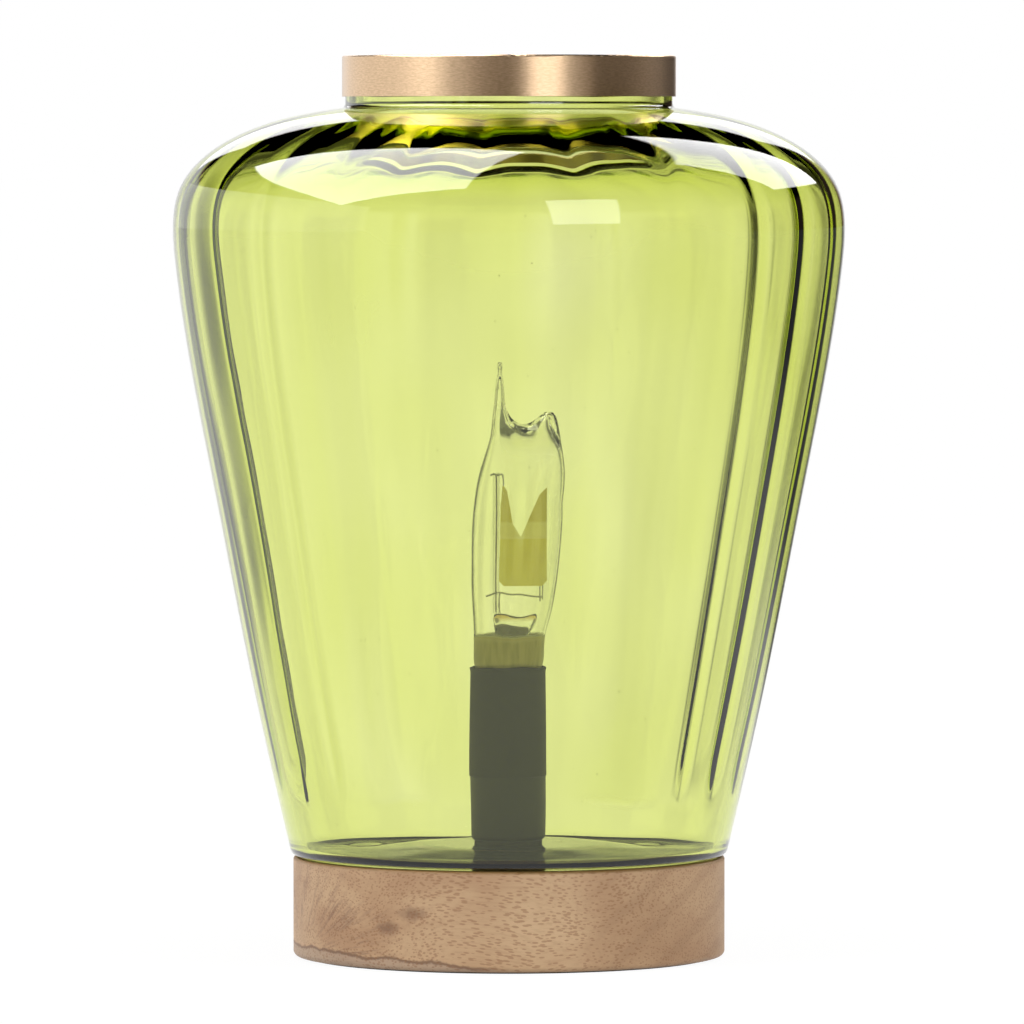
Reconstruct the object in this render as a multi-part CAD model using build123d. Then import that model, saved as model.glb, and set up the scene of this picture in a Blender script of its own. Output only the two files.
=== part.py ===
from build123d import *
from math import cos, radians, sin
import os

# Accent lamp: a blown glass shade with optic ribs, open at the top, clamped on a turned wooden base,
# with a candle holder and a flame-shaped flicker bulb inside and a brass collar around its neck.
# Millimetres, Z up. The origin is at the centre of the underside, and the front is towards -Y.

# Whole lamp
lamp_height = 254.0
base_height = 28.5
base_radius = 60.85

# Clearances
fit_gap = 0.15
thread_gap = 0.05
moving_gap = 0.3
overrun = 1.0

# Wooden base
felt_thickness = 1.5
felt_proud = 0.5
felt_radius = 57.0
cover_thickness = 1.2
cover_radius = 44.0
cavity_radius = 36.0
cavity_height = 15.8
base_top_edge_radius = 0.9
base_foot_edge_radius = 1.6
cover_screw_count = 3
cover_screw_circle = 40.0
cover_screw_radius = 1.25
cover_screw_head_radius = 2.4
cover_screw_length = 9.5

# Cord inlet at the back of the base
inlet_height = 10.5
inlet_bore_radius = 3.0
inlet_wall = 1.2
inlet_flange_radius = 6.2
inlet_flange_thickness = 1.4
inlet_seat_depth = 2.2

# Glass shade
shade_radius = 94.6
shade_foot_edge_radius = 3.0
neck_radius = 46.1
neck_show = 3.0
neck_fillet = 1.2
glass_wall = 3.2
glass_floor = 4.0
bowl_corner_radius = 9.0
throat_fillet = 1.5
rib_count = 24
rib_depth = 1.5
# Degrees: the front, counted from the X axis, and the turn of the middlemost rib away from it
front_angle = -90
rib_turn = -2
# Outline of the shade below the neck, as shares of its height above the base and of its radius
shade_outline_shares = (
    (0.000, 0.648),
    (0.235, 0.766),
    (0.475, 0.871),
    (0.675, 0.956),
    (0.795, 0.994),
    (0.846, 1.000),
    (0.895, 0.977),
    (0.935, 0.905),
    (0.966, 0.791),
    (0.986, 0.660),
)
# Where the ribbed inside is shaped: share of the outline's length, and share of the full rib depth there
rib_station_shares = (
    (0.060, 0.00),
    (0.110, 0.70),
    (0.200, 1.00),
    (0.350, 1.00),
    (0.500, 1.00),
    (0.620, 1.00),
    (0.700, 1.00),
    (0.760, 1.00),
    (0.815, 0.95),
    (0.870, 0.75),
    (0.925, 0.40),
    (0.970, 0.00),
)

# Brass collar
collar_radius = 47.0
collar_height = 11.5
collar_wall = 0.8
collar_lip_radius = 43.6
collar_edge_radius = 0.6

# Threaded lamp pipe and what it clamps
pipe_radius = 4.85
pipe_bore_radius = 3.3
pipe_below_nut = 1.2
nut_across_flats = 14.0
nut_height = 3.0
base_washer_radius = 12.0
base_washer_thickness = 1.3
seat_gasket_radius = 24.0
seat_gasket_thickness = 1.2
bush_radius = 7.4
bush_flange_radius = 9.4
bush_flange_thickness = 0.8
cup_washer_radius = 8.4
cup_washer_thickness = 1.0

# Socket cup, candle sleeve and lamp socket
cup_radius = 10.6
cup_foot_radius = 10.25
cup_height = 18.0
cup_wall = 1.2
cup_floor = 2.4
cup_foot_edge_radius = 1.4
cup_spigot_height = 5.0
sleeve_radius = 11.1
sleeve_wall = 0.75
sleeve_length = 30.9
socket_radius = 8.6
socket_headroom = 0.8
socket_floor = 5.0
socket_chamfer = 0.7
shell_wall = 0.35
shell_rise = 0.4
shell_land_radius = 3.2
contact_thickness = 0.4
contact_width = 3.2
contact_rise = 1.6
contact_rivet_offset = 2.3
rivet_radius = 0.8
rivet_head_radius = 1.4
rivet_head_height = 0.6
bracket_hub_radius = 7.0
bracket_hub_height = 4.5
bracket_thickness = 1.2
bracket_width = 4.6
bracket_lap = 10.5

# Wiring inside the lamp
lead_radius = 0.8
lead_spacing = 2.2
lead_bend_radius = 4.0
lead_drop = 4.5
lead_reach = 15.0
connector_radius = 3.4
connector_nose_radius = 2.4
connector_length = 12.0
connector_edge_radius = 0.6

# Flame-shaped flicker bulb
bulb_sunk = 22.2
bulb_glass = 0.8
cap_radius = 5.85
cap_wall = 0.35
cap_rim_radius = 6.6
cap_rim_height = 0.9
cap_height = 12.4
insulator_height = 3.3
contact_button_radius = 2.4
contact_button_height = 1.2
tail_height = 5.0
tail_radius = 5.2
flame_radius = 13.0
flame_height = 91.3
tip_radius = 0.65
# Sections of the flame: share of its height, then offset, half width and half depth as shares of its radius
flame_shares = (
    (0.000, 0.000, 0.400, 0.400),
    (0.027, 0.000, 0.620, 0.620),
    (0.063, 0.010, 0.755, 0.755),
    (0.109, 0.018, 0.782, 0.782),
    (0.156, 0.030, 0.800, 0.795),
    (0.209, 0.075, 0.862, 0.850),
    (0.272, 0.110, 0.925, 0.910),
    (0.335, 0.135, 0.965, 0.950),
    (0.404, 0.160, 0.988, 0.970),
    (0.478, 0.185, 1.000, 0.980),
    (0.546, 0.205, 0.985, 0.955),
    (0.604, 0.210, 0.935, 0.895),
    (0.662, 0.195, 0.845, 0.800),
    (0.715, 0.145, 0.700, 0.665),
    (0.763, 0.040, 0.500, 0.490),
    (0.802, -0.130, 0.290, 0.310),
    (0.836, -0.215, 0.180, 0.190),
    (0.886, -0.240, 0.112, 0.115),
    (0.942, -0.235, 0.072, 0.072),
    (0.995, -0.230, 0.036, 0.036),
)
# Sections of the lobe beside the tip, in the same shares
lobe_shares = (
    (0.546, 0.500, 0.650, 0.620),
    (0.599, 0.540, 0.645, 0.610),
    (0.652, 0.575, 0.620, 0.570),
    (0.710, 0.640, 0.515, 0.480),
    (0.768, 0.690, 0.410, 0.370),
    (0.805, 0.770, 0.275, 0.250),
    (0.827, 0.840, 0.160, 0.140),
    (0.840, 0.875, 0.050, 0.045),
)

# Inside the bulb
stem_tube_radius = 4.2
stem_rise = 20.3
stem_neck_rise = 13.0
press_width = 13.2
press_depth = 3.0
press_root_depth = 4.2
press_offset = 1.6
rod_radius = 0.95
rod_length = 39.6
rod_offset = 4.2
wire_radius = 0.25
bar_rise = 5.1
bar_left_end = 7.2
bar_right_end = 9.8
stub_spacing = 0.8
hook_left_end = 5.9
hook_right_end = 2.3
hook_below_rod = 0.4
plate_width = 14.3
plate_height = 28.5
plate_thickness = 0.4
plate_offset = 3.85
plate_rise = 7.8
plate_lap = 2.4
# Outline of a flame plate as shares of its width and height: its left peak, its right peak and its foot
left_peak_shares = ((0.00, 0.05), (0.03, 0.80), (0.07, 1.00), (0.16, 0.94), (0.28, 0.62))
right_peak_shares = ((0.60, 0.66), (0.82, 0.90), (0.97, 0.97), (0.98, 0.60), (1.00, 0.05))
plate_foot_shares = ((0.90, 0.00), (0.10, 0.00))
notch_offset_share = 0.45
front_notch_share = 0.49
back_notch_share = 0.36

# Levels worked out from the sizes above
cavity_floor_z = felt_thickness + cover_thickness
deck_z = cavity_floor_z + cavity_height
glass_floor_z = base_height + glass_floor
rim_z = lamp_height - collar_wall
neck_z = lamp_height - collar_height - neck_show
cup_z = glass_floor_z + bush_flange_thickness
cup_floor_z = cup_z + cup_floor
cup_nut_z = cup_floor_z + cup_washer_thickness
hub_z = cup_nut_z + nut_height
sleeve_z = cup_z + cup_height
sleeve_top_z = sleeve_z + sleeve_length
bulb_z = sleeve_top_z - bulb_sunk
base_nut_z = deck_z - base_washer_thickness - nut_height
pipe_bottom_z = base_nut_z - pipe_below_nut
pipe_top_z = hub_z + bracket_hub_height
sleeve_bore_radius = sleeve_radius - sleeve_wall
cap_bottom_z = bulb_z + contact_button_height + insulator_height
cap_top_z = cap_bottom_z + cap_height
shell_bore_radius = cap_radius + moving_gap
shell_radius = shell_bore_radius + shell_wall
socket_seat_z = bulb_z - moving_gap - contact_rise
socket_z = socket_seat_z - socket_floor
socket_top_z = cap_top_z - cap_rim_height - socket_headroom
envelope_z = cap_top_z - tail_height
stem_top_z = cap_top_z + stem_rise


def cylinder(radius, bottom, top):
    """A solid cylinder on the lamp's axis."""
    return Pos(0, 0, bottom) * Cylinder(radius, top - bottom, align=(Align.CENTER, Align.CENTER, Align.MIN))


def tube(outer, inner, bottom, top):
    """A straight tube on the lamp's axis."""
    return cylinder(outer, bottom, top) - cylinder(inner, bottom - overrun, top + overrun)


def turned(points):
    """A solid turned about the lamp's axis from a closed outline of radius and height."""
    return revolve(Plane.XZ * make_face(Polyline(*points, close=True)), Axis.Z)


def wire_between(radius, start, end):
    """A straight round wire from one point to another."""
    path = Line(start, end)
    return sweep(Plane(origin=start, z_dir=path % 0) * Circle(radius), path)


def single(shape):
    """The one solid that a shape holds."""
    return shape.solids()[0]


# Base


def base_block():
    """Turned wooden block, hollow underneath, with a hole for the pipe and one for the cord."""
    block = cylinder(base_radius, felt_proud, base_height)
    block = fillet(block.edges().group_by(Axis.Z)[-1], base_top_edge_radius)
    block = fillet(block.edges().group_by(Axis.Z)[0], base_foot_edge_radius)
    block -= cylinder(felt_radius + fit_gap, felt_proud - overrun, felt_thickness)
    block -= cylinder(cover_radius + fit_gap, felt_proud, cavity_floor_z)
    block -= cylinder(cavity_radius, felt_proud, deck_z)
    block -= cylinder(pipe_radius + fit_gap, deck_z - overrun, base_height + overrun)
    block -= cylinder(seat_gasket_radius + fit_gap, base_height - seat_gasket_thickness, base_height + overrun)
    for place in cover_screw_places():
        block -= place * cylinder(cover_screw_radius + thread_gap, cavity_floor_z - overrun,
                                  felt_thickness + cover_screw_length + fit_gap)
    inlet = inlet_place()
    seat_y = base_radius - inlet_seat_depth
    block -= inlet * cylinder(inlet_bore_radius + inlet_wall + fit_gap, cavity_radius - overrun * 2, seat_y + overrun)
    block -= inlet * cylinder(inlet_flange_radius + fit_gap, seat_y, base_radius + overrun)
    return block


def felt_pad():
    """Felt disc glued into the underside, standing a little proud of the wood."""
    return cylinder(felt_radius, 0, felt_thickness)


def cover_screw_places():
    """Where the screws of the bottom cover stand."""
    return PolarLocations(cover_screw_circle, cover_screw_count, start_angle=90 / cover_screw_count)


def bottom_cover():
    """Steel disc that closes the hollow of the base."""
    cover = cylinder(cover_radius, felt_thickness, cavity_floor_z)
    for place in cover_screw_places():
        cover -= place * turned(screw_head_outline(fit_gap))
    return cover


def screw_head_outline(gap):
    """Outline of a countersunk head that ends flush with the cover's underside."""
    return (
        (0, felt_thickness),
        (cover_screw_head_radius + gap, felt_thickness),
        (cover_screw_radius + gap, cavity_floor_z),
        (0, cavity_floor_z),
    )


def cover_screws():
    """Countersunk screws that hold the bottom cover to the wood."""
    tip_z = felt_thickness + cover_screw_length
    shank = turned((
        (0, cavity_floor_z),
        (cover_screw_radius, cavity_floor_z),
        (cover_screw_radius, tip_z - cover_screw_radius * 2),
        (0, tip_z),
    ))
    screw = turned(screw_head_outline(0)) + shank
    return Compound([single(place * screw) for place in cover_screw_places()])


def inlet_place():
    """The cord inlet's axis: local Z runs out through the back of the base."""
    return Location(Plane(origin=(0, 0, inlet_height), x_dir=(1, 0, 0), z_dir=(0, 1, 0)))


def cord_bushing():
    """Flanged bushing that lines the cord's hole through the back of the base."""
    barrel_radius = inlet_bore_radius + inlet_wall
    seat_y = base_radius - inlet_seat_depth
    bushing = cylinder(barrel_radius, cavity_radius, seat_y + inlet_flange_thickness)
    bushing += cylinder(inlet_flange_radius, seat_y, seat_y + inlet_flange_thickness)
    bushing = fillet(bushing.edges().group_by(Axis.Z)[-1], inlet_flange_thickness / 2)
    bushing -= cylinder(inlet_bore_radius, cavity_radius - overrun, base_radius)
    return inlet_place() * bushing


# Pipe and clamping parts


def hex_nut(bottom):
    """Hexagon nut on the lamp pipe, its corners turned off."""
    corner = nut_across_flats / 2 / cos(radians(30))
    blank = Pos(0, 0, bottom) * extrude(RegularPolygon(corner, 6), nut_height)
    chamfer_height = (corner - nut_across_flats / 2) * 0.6
    dome = turned((
        (0, bottom),
        (nut_across_flats / 2, bottom),
        (corner, bottom + chamfer_height),
        (corner, bottom + nut_height - chamfer_height),
        (nut_across_flats / 2, bottom + nut_height),
        (0, bottom + nut_height),
    ))
    return (blank & dome) - cylinder(pipe_radius + thread_gap, bottom - overrun, bottom + nut_height + overrun)


def lamp_pipe():
    """Threaded steel pipe that clamps the glass to the base and carries the wires."""
    return tube(pipe_radius, pipe_bore_radius, pipe_bottom_z, pipe_top_z)


def base_nut():
    return hex_nut(base_nut_z)


def cup_nut():
    return hex_nut(cup_nut_z)


def base_washer():
    return tube(base_washer_radius, pipe_radius + fit_gap, deck_z - base_washer_thickness, deck_z)


def seat_gasket():
    """Soft ring let into the wood under the glass."""
    return tube(seat_gasket_radius, pipe_radius + fit_gap, base_height - seat_gasket_thickness, base_height)


def glass_bush():
    """Top-hat bush that keeps the pipe off the glass and cushions the cup."""
    bush = cylinder(bush_radius, base_height, cup_z) + cylinder(bush_flange_radius, glass_floor_z, cup_z)
    return bush - cylinder(pipe_radius + fit_gap, base_height - overrun, cup_z + overrun)


def cup_washer():
    return tube(cup_washer_radius, pipe_radius + fit_gap, cup_floor_z, cup_nut_z)


# Glass shade


def shade_outline():
    """The shade's outer line from its foot to its neck, in radius and height."""
    height = neck_z - base_height
    points = [(r * shade_radius, base_height + h * height) for h, r in shade_outline_shares]
    return Spline(*points, (neck_radius, neck_z))


def rib_section(radius, level, depth):
    """Inside of the shade at one level: panels that bow outwards between ribs that point inwards."""
    pitch = 360 / rib_count
    arcs = []
    for panel in range(rib_count):
        middle = front_angle + rib_turn + (panel + 0.5) * pitch
        ends = [(radius - depth, middle - pitch / 2), (radius, middle), (radius - depth, middle + pitch / 2)]
        arcs.append(ThreePointArc(*[(r * cos(radians(a)), r * sin(radians(a)), level) for r, a in ends]))
    return make_face(arcs)


def inner_station(outline, share):
    """Radius and height on the inside of the wall at a share of the outline."""
    point = outline @ share
    along = outline % share
    return point.X - along.Y * glass_wall, point.Y + along.X * glass_wall


def shade_cavity():
    """The space inside the glass: a bowl, the ribbed body, and the throat of the neck."""
    outline = shade_outline()
    stations = [(*inner_station(outline, share), depth) for share, depth in rib_station_shares]
    body = loft([rib_section(radius, level, depth * rib_depth) for radius, level, depth in stations])
    low_radius, low_z, _ = stations[0]
    high_radius, high_z, _ = stations[-1]
    foot_radius = inner_station(outline, 0)[0]
    bowl = turned(((0, glass_floor_z), (foot_radius, glass_floor_z), (low_radius, low_z), (0, low_z)))
    bowl = fillet(bowl.edges().group_by(Axis.Z)[0], bowl_corner_radius)
    throat_radius = neck_radius - glass_wall
    throat_z = neck_z - glass_wall + throat_fillet / 2
    throat = turned((
        (0, high_z),
        (high_radius, high_z),
        (throat_radius, throat_z),
        (throat_radius, rim_z + overrun),
        (0, rim_z + overrun),
    ))
    throat_edge = throat.edges().filter_by(GeomType.CIRCLE).group_by(Axis.Z)[1]
    throat = fillet(throat_edge, throat_fillet)
    return body + bowl + throat


def glass_shade():
    """Blown glass shade: smooth outside, optic ribs inside, thick floor with a hole for the pipe."""
    outline = shade_outline()
    face = make_face([
        outline,
        Line(outline @ 1, (neck_radius, rim_z)),
        Line((neck_radius, rim_z), (0, rim_z)),
        Line((0, rim_z), (0, base_height)),
        Line((0, base_height), outline @ 0),
    ])
    glass = revolve(Plane.XZ * face, Axis.Z)
    glass = fillet(glass.edges().group_by(Axis.Z)[0], shade_foot_edge_radius)
    neck_edge = glass.edges().filter_by(GeomType.CIRCLE).sort_by_distance((0, 0, neck_z))[0]
    glass = fillet(neck_edge, neck_fillet)
    glass -= shade_cavity()
    glass -= cylinder(bush_radius + fit_gap, base_height - overrun, glass_floor_z + overrun)
    return glass


def collar_ring():
    """Brass band around the neck, its top edge turned in over the glass rim."""
    bottom = lamp_height - collar_height
    outline = Polyline(
        (collar_radius, bottom),
        (collar_radius, lamp_height),
        (collar_lip_radius, lamp_height),
        (collar_lip_radius, lamp_height - collar_wall),
        (collar_radius - collar_wall, lamp_height - collar_wall),
        (collar_radius - collar_wall, bottom),
        close=True,
    )
    face = make_face(outline)
    corner = face.vertices().sort_by_distance((collar_radius, lamp_height))[0]
    face = fillet(corner, collar_edge_radius)
    return revolve(Plane.XZ * face, Axis.Z)


# Candle holder


def socket_cup():
    """Black cup clamped on the glass floor, with a spigot on which the candle sleeve stands."""
    spigot_radius = sleeve_bore_radius - fit_gap
    cup = turned((
        (0, cup_z),
        (cup_foot_radius, cup_z),
        (cup_radius, sleeve_z),
        (spigot_radius, sleeve_z),
        (spigot_radius, sleeve_z + cup_spigot_height),
        (0, sleeve_z + cup_spigot_height),
    ))
    cup = fillet(cup.edges().group_by(Axis.Z)[0], cup_foot_edge_radius)
    cup -= cylinder(spigot_radius - cup_wall, cup_floor_z, sleeve_z + cup_spigot_height + overrun)
    return cup - cylinder(pipe_radius + fit_gap, cup_z - overrun, cup_floor_z + overrun)


def candle_sleeve():
    """Thin black sleeve that hides the socket."""
    return tube(sleeve_radius, sleeve_bore_radius, sleeve_z, sleeve_top_z)


def socket_body():
    """Moulded insulating body that holds the screw shell."""
    body = tube(socket_radius, shell_radius + fit_gap, socket_z, socket_top_z)
    body += cylinder(socket_radius, socket_z, socket_seat_z)
    body = chamfer(body.edges().group_by(Axis.Z)[0], socket_chamfer)
    body -= Pos(0, socket_radius, socket_z) * Box(
        bracket_width + fit_gap * 2, (bracket_thickness + fit_gap) * 2, (bracket_lap + fit_gap) * 2
    )
    for x in rivet_offsets():
        body -= Pos(x, 0, 0) * cylinder(rivet_radius + thread_gap, socket_z - overrun, socket_seat_z + overrun)
    return body - bracket_rivet_place() * cylinder(rivet_radius + thread_gap, 0, socket_radius)


def rivet_offsets():
    """Places of the two rivets through the socket's floor: the contact's and the shell's."""
    return (-contact_rivet_offset, (shell_bore_radius + shell_land_radius) / 2)


def screw_shell():
    """Brass shell that takes the bulb's cap, with an inward land on the socket's floor."""
    shell = tube(shell_radius, shell_bore_radius, socket_seat_z, socket_top_z + shell_rise)
    shell += tube(shell_radius, shell_land_radius, socket_seat_z, socket_seat_z + shell_wall)
    slot = contact_width + moving_gap * 2
    shell -= Pos(-shell_bore_radius / 2, 0, socket_seat_z) * Box(shell_bore_radius, slot, shell_wall * 4)
    return shell - Pos(rivet_offsets()[1], 0, 0) * cylinder(rivet_radius + thread_gap, socket_z, bulb_z)


def centre_contact():
    """Springy brass tongue under the bulb's contact."""
    top = bulb_z - moving_gap
    rivet_x = rivet_offsets()[0]
    foot_end = rivet_x - contact_width / 2
    bend_x = rivet_x + rivet_head_radius + contact_thickness
    bend = top - contact_thickness - socket_seat_z
    outline = Polyline(
        (foot_end, socket_seat_z),
        (bend_x, socket_seat_z),
        (bend_x + bend, top - contact_thickness),
        (contact_button_radius, top - contact_thickness),
        (contact_button_radius, top),
        (bend_x + bend - contact_thickness / 2, top),
        (bend_x - contact_thickness / 2, socket_seat_z + contact_thickness),
        (foot_end, socket_seat_z + contact_thickness),
        close=True,
    )
    tongue = extrude(Plane.XZ * make_face(outline), contact_width / 2, both=True)
    return tongue - Pos(rivet_x, 0, 0) * cylinder(rivet_radius + thread_gap, socket_z, bulb_z)


def bracket_rivet_place():
    """The bracket rivet's axis: local Z runs out through the back of the socket body."""
    return Location(Plane(origin=(0, 0, socket_z + bracket_lap / 2), x_dir=(1, 0, 0), z_dir=(0, 1, 0)))


def socket_bracket():
    """Steel hub screwed on the pipe, with a strap that carries the socket body."""
    strap_y = socket_radius - bracket_thickness
    strap_top = socket_z + bracket_lap
    hub = cylinder(bracket_hub_radius, hub_z, pipe_top_z)
    foot = Pos(0, socket_radius / 2, pipe_top_z - bracket_thickness / 2) * Box(
        bracket_width, socket_radius, bracket_thickness
    )
    strap = Pos(0, strap_y + bracket_thickness / 2, (pipe_top_z - bracket_thickness + strap_top) / 2) * Box(
        bracket_width, bracket_thickness, strap_top - pipe_top_z + bracket_thickness
    )
    bracket = hub + foot + strap
    bracket -= cylinder(pipe_radius + thread_gap, hub_z - overrun, pipe_top_z + overrun)
    return bracket - bracket_rivet_place() * cylinder(rivet_radius + thread_gap, 0, sleeve_radius)


def rivet(bottom, top):
    """Rivet along Z with a flat head on each face that it joins."""
    body = cylinder(rivet_radius, bottom, top)
    body += cylinder(rivet_head_radius, bottom - rivet_head_height, bottom)
    return body + cylinder(rivet_head_radius, top, top + rivet_head_height)


def socket_rivets():
    """Rivets of the centre contact, the screw shell and the bracket."""
    contact_x, shell_x = rivet_offsets()
    wall_inside = shell_radius + fit_gap
    bracket_rivet = cylinder(rivet_radius, wall_inside, socket_radius)
    bracket_rivet += cylinder(rivet_head_radius, socket_radius, socket_radius + rivet_head_height)
    return Compound([
        single(Pos(contact_x, 0, 0) * rivet(socket_z, socket_seat_z + contact_thickness)),
        single(Pos(shell_x, 0, 0) * rivet(socket_z, socket_seat_z + shell_wall)),
        single(bracket_rivet_place() * bracket_rivet),
    ])


# Wiring


def lead(side, start_x):
    """Insulated lead from a rivet under the socket, down the pipe and out into the base."""
    x = side * lead_spacing / 2
    start_z = socket_z - rivet_head_height
    low_z = pipe_bottom_z - lead_drop
    points = [
        (start_x, 0, start_z),
        (start_x, 0, start_z - lead_radius * 2),
        (x, 0, pipe_top_z + lead_radius),
        (x, 0, low_z),
        (side * lead_reach, 0, low_z),
    ]
    path = FilletPolyline(*points, radius=[lead_radius * 1.5, lead_radius * 1.5, lead_bend_radius])
    return sweep(Plane(origin=path @ 0, z_dir=path % 0) * Circle(lead_radius), path)


def live_lead():
    return lead(-1, rivet_offsets()[0])


def neutral_lead():
    return lead(1, rivet_offsets()[1])


def wire_connectors():
    """Twist-on caps over the ends of the two leads, where the cord's wires join them."""
    low_z = pipe_bottom_z - lead_drop
    cap = loft([
        Circle(connector_radius),
        Pos(0, 0, connector_length) * Circle(connector_nose_radius),
    ])
    cap = fillet(cap.edges().group_by(Axis.Z)[-1], connector_edge_radius)
    return Compound([
        single(Location(Plane(origin=(side * lead_reach, 0, low_z), z_dir=(side, 0, 0))) * cap)
        for side in (-1, 1)
    ])


# Bulb


def flame_section(share, offset, half_width, half_depth, inset):
    """One oval section of the bulb's glass, drawn in by the wall where it bounds the inside."""
    oval = Ellipse(half_width * flame_radius - inset, half_depth * flame_radius - inset)
    return Pos(offset * flame_radius, 0, cap_top_z + share * flame_height) * oval


def flame_loft(rows, inset):
    """A solid through the sections that are wide enough to be drawn in by the wall."""
    wide_enough = [row for row in rows if row[2] * flame_radius > inset * 1.5]
    return loft([flame_section(*row, inset) for row in wide_enough])


def flame(inset):
    """The tail, the flame's body and the lobe beside its tip."""
    main = flame_loft(flame_shares, inset)
    lobe = flame_loft(lobe_shares, inset)
    return cylinder(tail_radius - inset, envelope_z, cap_top_z) + main + lobe


def bulb_envelope():
    """Flame-shaped glass with a drawn tip, hollow, standing in the cap."""
    glass = flame(0)
    tip_share, tip_offset, _, _ = flame_shares[-1]
    glass += Pos(tip_offset * flame_radius, 0, cap_top_z + tip_share * flame_height) * Sphere(tip_radius)
    return glass - flame(bulb_glass)


def bulb_stem():
    """Glass stem that rises from the neck and is pinched flat around the wires."""
    neck_top = cap_top_z + stem_neck_rise
    tube_part = cylinder(stem_tube_radius, cap_top_z, neck_top)
    press = loft([
        Pos(0, 0, neck_top) * Circle(stem_tube_radius),
        Pos(press_offset, 0, (neck_top + stem_top_z) / 2) * Ellipse(press_width / 2, press_root_depth / 2),
        Pos(press_offset, 0, stem_top_z) * Ellipse(press_width / 2, press_depth / 2),
    ])
    return tube_part + press


def support_rod():
    """Glass rod that stands on the stem and carries the upper hook."""
    return Pos(-rod_offset, 0, 0) * cylinder(rod_radius, stem_top_z, stem_top_z + rod_length)


def joined_wires(*points):
    """Round wire through points with square corners."""
    wires = [wire_between(wire_radius, start, end) for start, end in zip(points, points[1:])]
    corners = [Pos(*point) * Sphere(wire_radius) for point in points[1:-1]]
    return wires[0].fuse(*wires[1:], *corners)


def support_wires():
    """Wires welded to the flame plates: the lower bar with its stubs, and the tall lead with its hook."""
    front_y = -(rod_radius + wire_radius)
    back_y = rod_radius + wire_radius
    bar_z = stem_top_z + bar_rise
    stub_z = stem_top_z + plate_rise + plate_lap
    lead_x = wire_radius + rod_radius - rod_offset
    bar = joined_wires((-bar_left_end, front_y, bar_z), (bar_right_end, front_y, bar_z), (bar_right_end, front_y, stub_z))
    stub_x = bar_right_end - stub_spacing
    bar += wire_between(wire_radius, (stub_x, front_y, bar_z), (stub_x, front_y, stub_z))
    bar += wire_between(wire_radius, (lead_x, front_y, stem_top_z), (lead_x, front_y, bar_z))
    hook_z = stem_top_z + rod_length - hook_below_rod
    hook_foot_z = stem_top_z + plate_rise + plate_height - plate_lap
    hook = joined_wires(
        (-hook_left_end, back_y, hook_z),
        (-hook_right_end, back_y, hook_z),
        (-hook_right_end, back_y, hook_foot_z),
    )
    hook += wire_between(wire_radius, (-rod_offset, back_y, stem_top_z), (-rod_offset, back_y, hook_z))
    return Compound([single(bar), single(hook)])


def flame_plate(inner_y, outer_y, notch_share):
    """Flame-shaped electrode: a thin plate with two peaks and a notch between them."""
    foot_z = stem_top_z + plate_rise
    left = plate_offset - plate_width / 2
    notch = (notch_offset_share, notch_share)
    outline_shares = (*left_peak_shares, notch, *right_peak_shares, *plate_foot_shares)
    points = [(left + x * plate_width, foot_z + z * plate_height) for x, z in outline_shares]
    plate = Plane.XZ * make_face(Polyline(*points, close=True))
    return Pos(0, (inner_y + outer_y) / 2, 0) * extrude(plate, plate_thickness / 2, both=True)


def electrode_front():
    face_y = rod_radius + wire_radius * 2
    return flame_plate(-face_y, -face_y - plate_thickness, front_notch_share)


def electrode_back():
    face_y = rod_radius + wire_radius * 2
    return flame_plate(face_y, face_y + plate_thickness, back_notch_share)


def bulb_cap():
    """Brass screw cap with a flared rim that holds the glass."""
    cap = tube(cap_radius, cap_radius - cap_wall, cap_bottom_z, cap_top_z)
    return cap + tube(cap_rim_radius, cap_radius - cap_wall, cap_top_z - cap_rim_height, cap_top_z)


def cap_insulator():
    """Black glass cone between the cap and its centre contact."""
    contact_top_z = bulb_z + contact_button_height
    return turned((
        (0, contact_top_z),
        (contact_button_radius, contact_top_z),
        (cap_radius, cap_bottom_z),
        (0, cap_bottom_z),
    ))


def cap_contact():
    """Solder button at the bottom of the bulb."""
    button = cylinder(contact_button_radius, bulb_z, bulb_z + contact_button_height)
    return fillet(button.edges().group_by(Axis.Z)[0], contact_button_height / 2)


parts = {
    "felt_pad": felt_pad,
    "base_block": base_block,
    "bottom_cover": bottom_cover,
    "cover_screws": cover_screws,
    "cord_bushing": cord_bushing,
    "lamp_pipe": lamp_pipe,
    "base_washer": base_washer,
    "base_nut": base_nut,
    "seat_gasket": seat_gasket,
    "glass_shade": glass_shade,
    "glass_bush": glass_bush,
    "collar_ring": collar_ring,
    "socket_cup": socket_cup,
    "cup_washer": cup_washer,
    "cup_nut": cup_nut,
    "candle_sleeve": candle_sleeve,
    "socket_bracket": socket_bracket,
    "socket_body": socket_body,
    "socket_rivets": socket_rivets,
    "screw_shell": screw_shell,
    "centre_contact": centre_contact,
    "live_lead": live_lead,
    "neutral_lead": neutral_lead,
    "wire_connectors": wire_connectors,
    "bulb_envelope": bulb_envelope,
    "bulb_stem": bulb_stem,
    "support_rod": support_rod,
    "support_wires": support_wires,
    "electrode_front": electrode_front,
    "electrode_back": electrode_back,
    "bulb_cap": bulb_cap,
    "cap_insulator": cap_insulator,
    "cap_contact": cap_contact,
}

os.makedirs("parts", exist_ok=True)
for name, make in parts.items():
    export_step(make(), f"parts/{name}.step")
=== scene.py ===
import bpy
import numpy as np
from math import atan2, cos, pi, radians, sin, tan
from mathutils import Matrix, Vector, noise

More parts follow.
